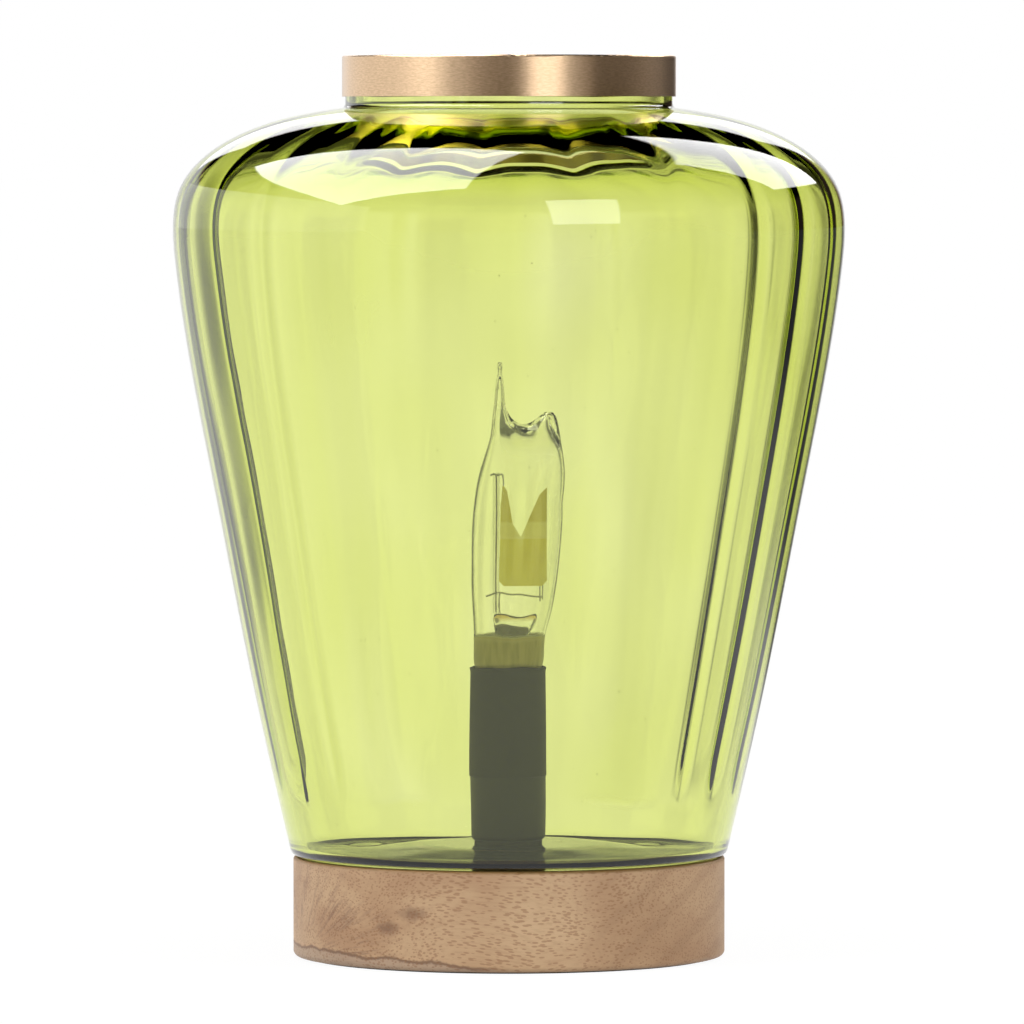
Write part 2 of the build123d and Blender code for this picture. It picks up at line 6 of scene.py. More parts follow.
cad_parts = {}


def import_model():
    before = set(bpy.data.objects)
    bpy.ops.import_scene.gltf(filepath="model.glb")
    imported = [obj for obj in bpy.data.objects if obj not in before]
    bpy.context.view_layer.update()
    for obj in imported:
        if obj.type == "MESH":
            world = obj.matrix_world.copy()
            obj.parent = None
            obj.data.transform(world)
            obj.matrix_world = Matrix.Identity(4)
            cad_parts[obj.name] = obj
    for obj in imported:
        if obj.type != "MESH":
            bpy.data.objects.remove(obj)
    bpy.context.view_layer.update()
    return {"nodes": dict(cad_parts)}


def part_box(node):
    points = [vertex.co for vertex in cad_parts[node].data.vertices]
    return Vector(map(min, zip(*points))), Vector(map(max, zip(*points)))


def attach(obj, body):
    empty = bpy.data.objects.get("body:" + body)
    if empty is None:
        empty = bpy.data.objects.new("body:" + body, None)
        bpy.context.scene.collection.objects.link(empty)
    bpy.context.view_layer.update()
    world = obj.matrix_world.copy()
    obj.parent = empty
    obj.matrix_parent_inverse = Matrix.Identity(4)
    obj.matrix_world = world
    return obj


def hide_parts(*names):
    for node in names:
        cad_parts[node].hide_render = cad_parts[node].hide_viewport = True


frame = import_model()
cad_nodes = frame["nodes"]

# Accent lamp: ribbed yellow-green glass on a mango wood base, with a brass band around its neck.
# Metres, Z up, front towards -Y, in the CAD frame.

mm = 0.001
shade_low, shade_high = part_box("glass_shade")
base_low, base_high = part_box("base_block")
ring_low, ring_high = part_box("collar_ring")


# Node helpers


def add(tree, kind, inputs=None, **settings):
    """Add a node, with its settings and its input values or links."""
    made = tree.nodes.new(kind)
    for name, value in settings.items():
        setattr(made, name, value)
    for name, value in (inputs or {}).items():
        if isinstance(value, bpy.types.NodeSocket):
            tree.links.new(value, made.inputs[name])
        else:
            made.inputs[name].default_value = value
    return made


def maths(tree, operation, *values, clamp=False):
    made = add(tree, "ShaderNodeMath", operation=operation, use_clamp=clamp)
    for index, value in enumerate(values):
        if isinstance(value, bpy.types.NodeSocket):
            tree.links.new(value, made.inputs[index])
        else:
            made.inputs[index].default_value = value
    return made.outputs[0]


def mixed(tree, factor, first, second, blend="MIX"):
    """Mix two colours."""
    made = add(tree, "ShaderNodeMix", data_type="RGBA", blend_type=blend)
    for socket, value in ((made.inputs[0], factor), (made.inputs[6], first), (made.inputs[7], second)):
        if isinstance(value, bpy.types.NodeSocket):
            tree.links.new(value, socket)
        elif isinstance(value, (tuple, list)):
            socket.default_value = (*value, 1) if len(value) == 3 else value
        else:
            socket.default_value = value
    return made.outputs[2]


def smooth_step(tree, value, low, high, to_low=0.0, to_high=1.0):
    made = add(tree, "ShaderNodeMapRange", {"Value": value, "From Min": low, "From Max": high,
                                            "To Min": to_low, "To Max": to_high}, interpolation_type="SMOOTHSTEP")
    return made.outputs[0]


def object_point(tree, scale=(1, 1, 1)):
    """The shaded point in metres, stretched by a scale."""
    place = add(tree, "ShaderNodeTexCoord").outputs["Object"]
    return add(tree, "ShaderNodeMapping", {"Vector": place, "Scale": scale}).outputs[0]


def noise_of(tree, vector, scale, detail=2.0, roughness=0.5, distortion=0.0):
    made = add(tree, "ShaderNodeTexNoise", {"Vector": vector, "Scale": scale, "Detail": detail,
                                            "Roughness": roughness, "Distortion": distortion})
    return made.outputs["Fac"]


def bump(tree, height, strength, distance, normal=None):
    inputs = {"Height": height, "Strength": strength, "Distance": distance}
    if normal is not None:
        inputs["Normal"] = normal
    return add(tree, "ShaderNodeBump", inputs).outputs[0]


def new_material(name):
    """A material with its Principled shader; returns the material, its tree and the shader."""
    material = bpy.data.materials.new(name)
    material.use_nodes = True
    tree = material.node_tree
    shader = tree.nodes["Principled BSDF"]
    return material, tree, shader


def set_inputs(tree, shader, **values):
    """Set or link the shader's sockets; names have underscores for spaces."""
    for name, value in values.items():
        socket = shader.inputs[name.replace("_", " ")]
        if isinstance(value, bpy.types.NodeSocket):
            tree.links.new(value, socket)
        elif isinstance(value, tuple) and len(value) == 3 and socket.type == "RGBA":
            socket.default_value = (*value, 1)
        else:
            socket.default_value = value


# Materials

glass_absorption_density = 208.0
glass_absorption_colour = (0.80, 0.857, 0.0245)
glass_ior = 1.52
# Seeds in the glass: cells per metre, and their reach as a share of a cell
seed_spread = 125.0
seed_size = 0.034


def green_glass():
    material, tree, shader = new_material("green_glass")
    ripple = noise_of(tree, object_point(tree), 18.0, 1.0)
    seeds = add(tree, "ShaderNodeTexVoronoi", {"Vector": object_point(tree), "Scale": seed_spread}, feature="F1")
    seen = smooth_step(tree, seeds.outputs["Distance"], 0.5 * seed_size, seed_size)
    set_inputs(tree, shader, Base_Color=mixed(tree, seen, (0.35, 0.35, 0.2), (1, 1, 1)), Roughness=0.0,
               IOR=glass_ior, Transmission_Weight=1.0,
               Normal=bump(tree, ripple, 0.15, 0.002))
    volume = add(tree, "ShaderNodeVolumeAbsorption", {"Color": (*glass_absorption_colour, 1),
                                                      "Density": glass_absorption_density})
    tree.links.new(volume.outputs[0], tree.nodes["Material Output"].inputs["Volume"])
    return material


milky_top_z = 91.3 * mm


def clear_glass(name="clear_glass"):
    material, tree, shader = new_material(name)
    set_inputs(tree, shader, Base_Color=(1, 1, 1), Roughness=0.0, IOR=1.5, Transmission_Weight=1.0,
               Normal=bump(tree, noise_of(tree, object_point(tree), 90.0, 1.0), 0.08, 0.001))
    return material


def stem_glass():
    """Clear glass that turns golden brown towards the pinched top."""
    material, tree, shader = new_material("stem_glass")
    place = add(tree, "ShaderNodeTexCoord").outputs["Object"]
    level = add(tree, "ShaderNodeSeparateXYZ", {0: place}).outputs[2]
    golden = smooth_step(tree, level, 94.6 * mm, 96.4 * mm)
    set_inputs(tree, shader, Base_Color=mixed(tree, golden, (1, 1, 1), (0.62, 0.45, 0.12)), Roughness=0.05,
               IOR=1.5, Transmission_Weight=1.0)
    return material


def rod_glass():
    """Thin clear tube: barely seen face on, with painted shade in dark olive at its edges, where glass would bend the
    light away.
    """
    material, tree, shader = new_material("rod_glass")
    facing = add(tree, "ShaderNodeLayerWeight", {"Blend": 0.5}).outputs["Facing"]
    # Painted shade: opaque dark olive towards the edges, where a glass tube bends the light away
    set_inputs(tree, shader, Base_Color=(0.24, 0.25, 0.12), Roughness=0.12,
               Alpha=smooth_step(tree, facing, 0.5, 0.92, 0.05, 0.8))
    return material


def bulb_glass():
    """Clear glass, milky around the neck."""
    material, tree, shader = new_material("bulb_glass")
    place = add(tree, "ShaderNodeTexCoord").outputs["Object"]
    level = add(tree, "ShaderNodeSeparateXYZ", {0: place}).outputs[2]
    ragged = maths(tree, "MULTIPLY", noise_of(tree, place, 160.0, 2.0), 1.6 * mm)
    level = maths(tree, "ADD", level, ragged)
    milky = smooth_step(tree, level, milky_top_z, milky_top_z + 1.2 * mm, 1.0, 0.0)
    streaks = noise_of(tree, object_point(tree, (1, 1, 0.15)), 500.0, 2.0)
    tone = mixed(tree, smooth_step(tree, streaks, 0.35, 0.7), (0.62, 0.54, 0.17), (0.47, 0.41, 0.12))
    rim = smooth_step(tree, level, milky_top_z - 1.5 * mm, milky_top_z - 0.4 * mm, 0.0, 0.5)
    tone = mixed(tree, rim, tone, (0.72, 0.64, 0.26))
    set_inputs(tree, shader, Base_Color=mixed(tree, milky, (1, 1, 1), tone), IOR=1.5,
               Roughness=maths(tree, "MULTIPLY", milky, 0.35),
               Transmission_Weight=maths(tree, "SUBTRACT", 1.0, maths(tree, "MULTIPLY", milky, 0.85)),
               Normal=bump(tree, noise_of(tree, place, 90.0, 1.0), 0.08, 0.001))
    return material


def flame_plate():
    """Fine coated mesh that lets some light through, more golden on its lower half, with a paler band above, and a
    faint painted glow that brightens it.
    """
    material, tree, shader = new_material("flame_plate")
    place = add(tree, "ShaderNodeTexCoord").outputs["Object"]
    level = add(tree, "ShaderNodeSeparateXYZ", {0: place}).outputs[2]
    patches = noise_of(tree, place, 300.0, 3.0, 0.6)
    low = smooth_step(tree, level, 118.2 * mm, 118.6 * mm, 1.0, 0.0)
    high = smooth_step(tree, level, 122.6 * mm, 123.6 * mm)
    colour = mixed(tree, low, (1.0, 0.95, 0.28), (0.95, 0.88, 0.05))
    colour = mixed(tree, high, colour, (0.86, 0.77, 0.05))
    colour = mixed(tree, smooth_step(tree, patches, 0.45, 0.75, 0.0, 0.3), colour, (0.8, 0.66, 0.05))
    roughness = maths(tree, "ADD", 0.4, maths(tree, "MULTIPLY", patches, 0.2))
    # Painted glow: a faint emission in the plate's own colour makes it brighter than the light reaching it would
    set_inputs(tree, shader, Base_Color=colour, Metallic=0.0, Alpha=0.6, Roughness=roughness,
               Emission_Color=colour, Emission_Strength=0.15, Normal=bump(tree, patches, 0.3, 0.00008))
    return material


def brushed_brass():
    """Brass brushed around the band, a little uneven, lacquered."""
    material, tree, shader = new_material("brushed_brass")
    place = add(tree, "ShaderNodeTexCoord").outputs["Object"]
    parts = add(tree, "ShaderNodeSeparateXYZ", {0: place})
    turn = maths(tree, "ARCTAN2", parts.outputs[0], parts.outputs[1])
    along = add(tree, "ShaderNodeCombineXYZ", {0: maths(tree, "MULTIPLY", turn, 0.012), 1: parts.outputs[2]}).outputs[0]
    lines = noise_of(tree, along, 2600.0, 3.0, 0.65)
    patches = noise_of(tree, place, 45.0, 2.0)
    colour = mixed(tree, smooth_step(tree, lines, 0.3, 0.7), (0.58, 0.40, 0.245), (0.76, 0.55, 0.355))
    colour = mixed(tree, smooth_step(tree, patches, 0.35, 0.75, 0.0, 0.35), colour, (0.53, 0.37, 0.23))
    roughness = maths(tree, "ADD", 0.24, maths(tree, "MULTIPLY", lines, 0.14))
    tangent = add(tree, "ShaderNodeTangent", direction_type="RADIAL", axis="Z").outputs[0]
    set_inputs(tree, shader, Base_Color=colour, Metallic=1.0, Roughness=roughness, Anisotropic=0.8,
               Anisotropic_Rotation=0.25, Tangent=tangent, Normal=bump(tree, lines, 0.18, 0.0001))
    return material


wood_top_z = 28.5 * mm
# Where the wood's dark streaks fan out from, in X and Z
wood_fan_centre = (-58 * mm, 2 * mm)
# Knots in the wood: place of each and its reach in X, Y and Z
wood_knots = (
    ((-26.5 * mm, -55 * mm, 16.5 * mm), (4.5 * mm, 9 * mm, 2.2 * mm)),
    ((-33.5 * mm, -50 * mm, 12.0 * mm), (3.2 * mm, 9 * mm, 2.0 * mm)),
    ((22 * mm, 56 * mm, 9 * mm), (5 * mm, 9 * mm, 2.6 * mm)),
)


def wood_pores(tree, place, fineness, stretch, reach):
    """Short dark pores along the grain: 1 in a pore, 0 between."""
    cells = add(tree, "ShaderNodeTexVoronoi", {
        "Vector": add(tree, "ShaderNodeMapping", {"Vector": place, "Scale": (stretch, 1, 1)}).outputs[0],
        "Scale": fineness, "Randomness": 1.0}, feature="F1")
    size = smooth_step(tree, noise_of(tree, place, 90.0, 2.0), 0.3, 0.7, *reach)
    return smooth_step(tree, maths(tree, "SUBTRACT", cells.outputs["Distance"], size), -0.08, 0.06, 1.0, 0.0)


def wood_knot(tree, place, centre, reach):
    """How near a knot is: 1 in its middle, 0 outside."""
    away = add(tree, "ShaderNodeVectorMath", {0: place, 1: centre}, operation="SUBTRACT").outputs[0]
    away = add(tree, "ShaderNodeVectorMath", {0: away, 1: reach}, operation="DIVIDE").outputs[0]
    distance = add(tree, "ShaderNodeVectorMath", {0: away}, operation="LENGTH").outputs["Value"]
    ragged = maths(tree, "MULTIPLY", noise_of(tree, place, 330.0, 4.0, 0.65), 1.6)
    return smooth_step(tree, maths(tree, "ADD", distance, ragged), 0.9, 2.1, 1.0, 0.0)


def mango_wood():
    """Mango wood with its grain along X: cream and tan, short dark pores, a fan of streaks, knots and a grey foot, with
    a painted shadow of the glass along its top edge and painted shade along its bottom edge.
    """
    material, tree, shader = new_material("mango_wood")
    place = add(tree, "ShaderNodeTexCoord").outputs["Object"]
    x, y, z = add(tree, "ShaderNodeSeparateXYZ", {0: place}).outputs
    bent = add(tree, "ShaderNodeVectorMath", {0: noise_of(tree, place, 18.0, 2.0), 1: (0.0, 0.012, 0.012)},
               operation="MULTIPLY").outputs[0]
    grain = add(tree, "ShaderNodeVectorMath", {0: place, 1: bent}, operation="ADD").outputs[0]
    broad = noise_of(tree, add(tree, "ShaderNodeMapping", {"Vector": grain, "Scale": (0.6, 1, 1.4)}).outputs[0],
                     34.0, 3.0, 0.55)
    fibres = noise_of(tree, add(tree, "ShaderNodeMapping", {"Vector": grain, "Scale": (0.08, 1, 1)}).outputs[0],
                      1500.0, 3.0, 0.6)
    colour = mixed(tree, smooth_step(tree, broad, 0.36, 0.66), (0.58, 0.385, 0.225), (0.44, 0.262, 0.145))
    cream = maths(tree, "MULTIPLY", smooth_step(tree, x, -14 * mm, 8 * mm),
                  smooth_step(tree, x, 14 * mm, 32 * mm, 1.0, 0.0))
    colour = mixed(tree, maths(tree, "MULTIPLY", cream, 0.6), colour, (0.65, 0.455, 0.27))
    tan_side = smooth_step(tree, x, 16 * mm, 34 * mm)
    colour = mixed(tree, maths(tree, "MULTIPLY", tan_side, 0.4), colour, (0.42, 0.262, 0.142))
    slant = maths(tree, "SUBTRACT", z, maths(tree, "MULTIPLY", x, 0.9))
    slant = maths(tree, "ADD", slant, maths(tree, "MULTIPLY", noise_of(tree, place, 60.0, 2.0), 6 * mm))
    bands = maths(tree, "SINE", maths(tree, "MULTIPLY", slant, 520.0))
    bands = maths(tree, "MULTIPLY", smooth_step(tree, bands, 0.2, 1.0), tan_side)
    colour = mixed(tree, maths(tree, "MULTIPLY", bands, 0.25), colour, (0.32, 0.19, 0.105))
    colour = mixed(tree, smooth_step(tree, fibres, 0.42, 0.75, 0.0, 0.3), colour, (0.36, 0.2, 0.11))

    run = maths(tree, "SUBTRACT", x, wood_fan_centre[0])
    rise = maths(tree, "SUBTRACT", z, wood_fan_centre[1])
    turn = maths(tree, "ARCTAN2", rise, run)
    away = maths(tree, "SQRT", maths(tree, "ADD", maths(tree, "MULTIPLY", run, run), maths(tree, "MULTIPLY", rise, rise)))
    polar = add(tree, "ShaderNodeCombineXYZ", {0: maths(tree, "MULTIPLY", turn, 13.0), 1: maths(tree, "MULTIPLY", away, 90.0)})
    fan = smooth_step(tree, noise_of(tree, polar.outputs[0], 1.0, 4.0, 0.65), 0.46, 0.72)
    side = maths(tree, "MULTIPLY", smooth_step(tree, away, 4 * mm, 11 * mm), smooth_step(tree, away, 18 * mm, 34 * mm, 1.0, 0.0))
    colour = mixed(tree, maths(tree, "MULTIPLY", maths(tree, "MULTIPLY", fan, side), 0.75), colour, (0.24, 0.135, 0.085))

    swing = maths(tree, "MULTIPLY", noise_of(tree, place, 90.0, 4.0, 0.6), 4.5 * mm)
    foot = maths(tree, "ADD", maths(tree, "ADD", z, swing), maths(tree, "MULTIPLY", x, 0.05))
    left = smooth_step(tree, x, 2 * mm, -12 * mm)
    grey = maths(tree, "MULTIPLY", smooth_step(tree, foot, 3.4 * mm, 3.9 * mm, 1.0, 0.0), left)
    colour = mixed(tree, maths(tree, "MULTIPLY", grey, 0.5), colour, (0.36, 0.28, 0.225))
    line = maths(tree, "ABSOLUTE", maths(tree, "SUBTRACT", foot, 3.8 * mm))
    mark = maths(tree, "MULTIPLY", smooth_step(tree, line, 0.1 * mm, 0.7 * mm, 1.0, 0.0), left)
    colour = mixed(tree, maths(tree, "MULTIPLY", mark, 0.75), colour, (0.15, 0.075, 0.045))
    for centre, reach in wood_knots:
        knot = maths(tree, "MULTIPLY", wood_knot(tree, place, centre, reach), 0.7)
        colour = mixed(tree, knot, colour, (0.17, 0.085, 0.05))
    fine = wood_pores(tree, grain, 1350.0, 0.27, (0.30, 0.42))
    colour = mixed(tree, maths(tree, "MULTIPLY", fine, 0.48), colour, (0.27, 0.125, 0.055))
    # Painted shadow and shade: dark brown along the top edge, where the glass shade shadows the wood, and along the
    # bottom edge, where shade falls under the base
    top = smooth_step(tree, z, wood_top_z - 1.1 * mm, wood_top_z - 0.2 * mm)
    low = smooth_step(tree, z, 1.2 * mm, 0.3 * mm)
    colour = mixed(tree, maths(tree, "MULTIPLY", maths(tree, "MAXIMUM", top, low), 0.8), colour, (0.22, 0.115, 0.03))
    height = maths(tree, "SUBTRACT", maths(tree, "MULTIPLY", fibres, 0.35), fine)
    roughness = maths(tree, "ADD", 0.42, maths(tree, "MULTIPLY", fibres, 0.16))
    set_inputs(tree, shader, Base_Color=colour, Roughness=roughness, Specular_IOR_Level=0.35,
               Normal=bump(tree, height, 0.3, 0.00012))
    return material


def plain_material(name, colour, roughness, metallic=0.0, grain=400.0, grain_depth=0.0001, variation=0.25,
                   stretch=(1, 1, 1)):
    """A material with a fine grain in its colour, roughness and surface."""
    material, tree, shader = new_material(name)
    fine = noise_of(tree, object_point(tree, stretch), grain, 3.0, 0.6)
    broad = noise_of(tree, object_point(tree), grain / 12, 2.0)
    darker = tuple(channel * (1 - variation) for channel in colour)
    lighter = tuple(min(1.0, channel * (1 + variation)) for channel in colour)
    shade = maths(tree, "ADD", maths(tree, "MULTIPLY", fine, 0.5), maths(tree, "MULTIPLY", broad, 0.5))
    set_inputs(tree, shader, Base_Color=mixed(tree, smooth_step(tree, shade, 0.3, 0.7), darker, lighter),
               Metallic=metallic, Roughness=maths(tree, "ADD", roughness, maths(tree, "MULTIPLY", fine, 0.12)),
               Normal=bump(tree, fine, 0.4, grain_depth))
    return material


materials = {
    "green_glass": green_glass(),
    "bulb_glass": bulb_glass(),
    "clear_glass": clear_glass(),
    "rod_glass": rod_glass(),
    "stem_glass": stem_glass(),
    "brushed_brass": brushed_brass(),
    "mango_wood": mango_wood(),
    "felt": plain_material("felt", (0.035, 0.033, 0.03), 0.85, grain=1500.0, grain_depth=0.0006),
    "zinc_steel": plain_material("zinc_steel", (0.62, 0.62, 0.6), 0.3, metallic=1.0, grain=900.0),
    "black_plastic": plain_material("black_plastic", (0.012, 0.012, 0.012), 0.42),
    "black_rubber": plain_material("black_rubber", (0.025, 0.025, 0.025), 0.65),
    "sleeve_card": plain_material("sleeve_card", (0.013, 0.0125, 0.011), 0.55, stretch=(1, 1, 0.2)),
    "phenolic": plain_material("phenolic", (0.03, 0.018, 0.012), 0.4),
    "contact_brass": plain_material("contact_brass", (0.7, 0.5, 0.22), 0.3, metallic=1.0),
    "lead_black": plain_material("lead_black", (0.02, 0.02, 0.02), 0.45),
    "lead_white": plain_material("lead_white", (0.7, 0.69, 0.65), 0.45),
    "connector_grey": plain_material("connector_grey", (0.25, 0.26, 0.27), 0.45),
    "nickel_wire": plain_material("nickel_wire", (0.5, 0.48, 0.42), 0.3, metallic=1.0),
    "flame_plate": flame_plate(),
    "black_glass": plain_material("black_glass", (0.012, 0.012, 0.014), 0.12),
    "solder": plain_material("solder", (0.55, 0.55, 0.53), 0.35, metallic=1.0),
}

for node_name, cad_object in cad_nodes.items():
    for cad_slot in cad_object.material_slots:
        slot_name = cad_slot.material.name.split(".")[0]
        cad_slot.material = materials[slot_name]


# Mesh helpers


def natural_curve(points, count):
    """Points evenly spaced along a natural cubic spline through the given points."""
    points = np.array(points, float)
    spans = np.sqrt((np.diff(points, axis=0) ** 2).sum(1))
    stations = np.concatenate(([0], np.cumsum(spans)))
    size = len(points)
    system = np.zeros((size, size))
    right = np.zeros((size, points.shape[1]))
    system[0, 0] = system[-1, -1] = 1
    for i in range(1, size - 1):
        system[i, i - 1:i + 2] = spans[i - 1], 2 * (spans[i - 1] + spans[i]), spans[i]
        right[i] = 6 * ((points[i + 1] - points[i]) / spans[i] - (points[i] - points[i - 1]) / spans[i - 1])
    bend = np.linalg.solve(system, right)
    fine = np.linspace(0, stations[-1], 4000)
    index = np.clip(np.searchsorted(stations, fine) - 1, 0, size - 2)
    step = spans[index][:, None]
    before = (fine - stations[index])[:, None]
    after = step - before
    curve = (bend[index] * after ** 3 + bend[index + 1] * before ** 3) / (6 * step)
    curve += (points[index] / step - bend[index] * step / 6) * after
    curve += (points[index + 1] / step - bend[index + 1] * step / 6) * before
    length = np.concatenate(([0], np.cumsum(np.sqrt((np.diff(curve, axis=0) ** 2).sum(1)))))
    wanted = np.linspace(0, length[-1], count)
    return np.stack([np.interp(wanted, length, curve[:, k]) for k in range(points.shape[1])], 1)


def arc(centre, radius, start, end, count):
    """Points on an arc in radius and height, angles in degrees from the radial direction."""
    angles = np.radians(np.linspace(start, end, count))
    return np.stack([centre[0] + radius * np.cos(angles), centre[1] + radius * np.sin(angles)], 1)


def inward(points, distance):
    """Points moved to the left of the line that they follow."""
    along = np.gradient(points, axis=0)
    along /= np.sqrt((along ** 2).sum(1))[:, None]
    return points + np.stack([-along[:, 1], along[:, 0]], 1) * distance


def even(points, count):
    """The same line with evenly spaced points."""
    length = np.concatenate(([0], np.cumsum(np.sqrt((np.diff(points, axis=0) ** 2).sum(1)))))
    wanted = np.linspace(0, length[-1], count)
    return np.stack([np.interp(wanted, length, points[:, k]) for k in range(2)], 1)


def mesh_object(name, vertices, faces, material, smooth_angle=40):
    mesh = bpy.data.meshes.new(name)
    mesh.from_pydata([tuple(v) for v in vertices], [], [tuple(f) for f in faces])
    mesh.polygons.foreach_set("use_smooth", [True] * len(mesh.polygons))
    mesh.materials.append(material)
    mesh.set_sharp_from_angle(angle=radians(smooth_angle))
    piece = bpy.data.objects.new(name, mesh)
    bpy.context.scene.collection.objects.link(piece)
    return piece


def loop_faces(rows, columns):
    """Quads of a closed ring: rows around the profile, columns around the axis."""
    row, column = np.meshgrid(np.arange(rows), np.arange(columns), indexing="ij")
    next_row, next_column = (row + 1) % rows, (column + 1) % columns
    quads = np.stack([row * columns + column, row * columns + next_column,
                      next_row * columns + next_column, next_row * columns + column], -1)
    return quads.reshape(-1, 4)


def lathe(name, line, columns, material, smooth_angle=40, middle=(0, 0), change=None):
    """A closed line in radius and height, turned around a vertical axis; change may move each point."""
    vertices = []
    for radius, level in line:
        for azimuth in np.arange(columns) * 2 * pi / columns:
            place, height = change(azimuth, radius, level) if change else (radius, level)
            vertices.append((middle[0] + place * cos(azimuth), middle[1] + place * sin(azimuth), height))
    return mesh_object(name, vertices, loop_faces(len(line), columns), material, smooth_angle)


# Glass shade

shade_radius = 94.6 * mm
shade_foot_z = base_high.z
neck_radius = 46.1 * mm
neck_z = ring_low.z - 3.0 * mm
rim_z = shade_high.z
glass_wall = 3.2 * mm
# How much thicker the shoulder is: share of the outline's length, share of the full extra thickness
shoulder_extra = 2.2 * mm
shoulder_extra_shares = ((0.00, 0), (0.74, 0), (0.82, 0.3), (0.93, 1), (1.00, 0.45))
glass_floor = 4.0 * mm
foot_edge_radius = 3.0 * mm
neck_fillet = 1.2 * mm
throat_fillet = 1.5 * mm
bowl_corner_radius = 4.5 * mm
pipe_hole_radius = 7.55 * mm
# The hollow under the floor: how deep it is, and between which radii
kick_depth = 0.4 * mm
kick_low_radius = 27.0 * mm
kick_high_radius = 56.5 * mm
kick_shares = ((0.0, 0.1, 0.2, 0.9, 0.96, 1.0), (0.0, 0.4, 0.55, 1.0, 0.75, 0.0))
# How far the floor sinks towards the wall, between which radii, and how wavy its top is
floor_dip = 2.9 * mm
floor_dip_radii = (22 * mm, 50 * mm)
floor_wave = 0.3 * mm
floor_wave_scale = 75
# Ribs inside the glass, those that face the camera: degrees from the front, depth, half widths in degrees to the
# left and to the right of the crest, and the power of their slopes
front_ribs = (
    (-79, 0.4 * mm, 6.0, 6.0, 2), (-61.8, 2.6 * mm, 8.8, 1.6, 1.25), (-47, 0.3 * mm, 4.0, 4.0, 2),
    (-32, 0.22 * mm, 6.0, 6.0, 2), (-20, 0.12 * mm, 7.4, 7.4, 2), (-5.5, 0.05 * mm, 7.4, 7.4, 2),
    (12.5, 0.07 * mm, 7.4, 7.4, 2), (30, 0.2 * mm, 7.4, 7.4, 2), (48, 0.75 * mm, 3.4, 3.4, 2),
    (61.5, 1.3 * mm, 5.0, 5.0, 2), (77, 0.8 * mm, 6.0, 6.0, 2),
)
# Number of the other ribs, which are spread evenly over the rest, and their depth
back_rib_count = 13
back_rib_depth = 0.3 * mm
shoulder_rib_depth = 1.5 * mm
wide_rib = 7.4
rib_crest_round = 0.12
rib_sway = 1.6
wall_waviness = 0.25 * mm
back_waviness = 1.3 * mm
# Outline of the shade below the neck, as shares of its height above the base and of its radius
shade_outline_shares = (
    (0.000, 0.648), (0.235, 0.766), (0.475, 0.871), (0.675, 0.956), (0.795, 0.994),
    (0.846, 1.000), (0.895, 0.977), (0.935, 0.905), (0.966, 0.791), (0.986, 0.660),
)
# How deep the ribs are along the outline: share of its length, share of the full depth
rib_depth_shares = ((0.00, 0), (0.07, 0), (0.12, 0.9), (0.2, 1), (0.92, 1), (0.985, 0.15), (1, 0))
# Between which shares of the outline's length every rib grows as strong as at the shoulder
shoulder_rib_shares = (0.80, 0.90)
shade_columns = 720
low_wall_z = 40 * mm


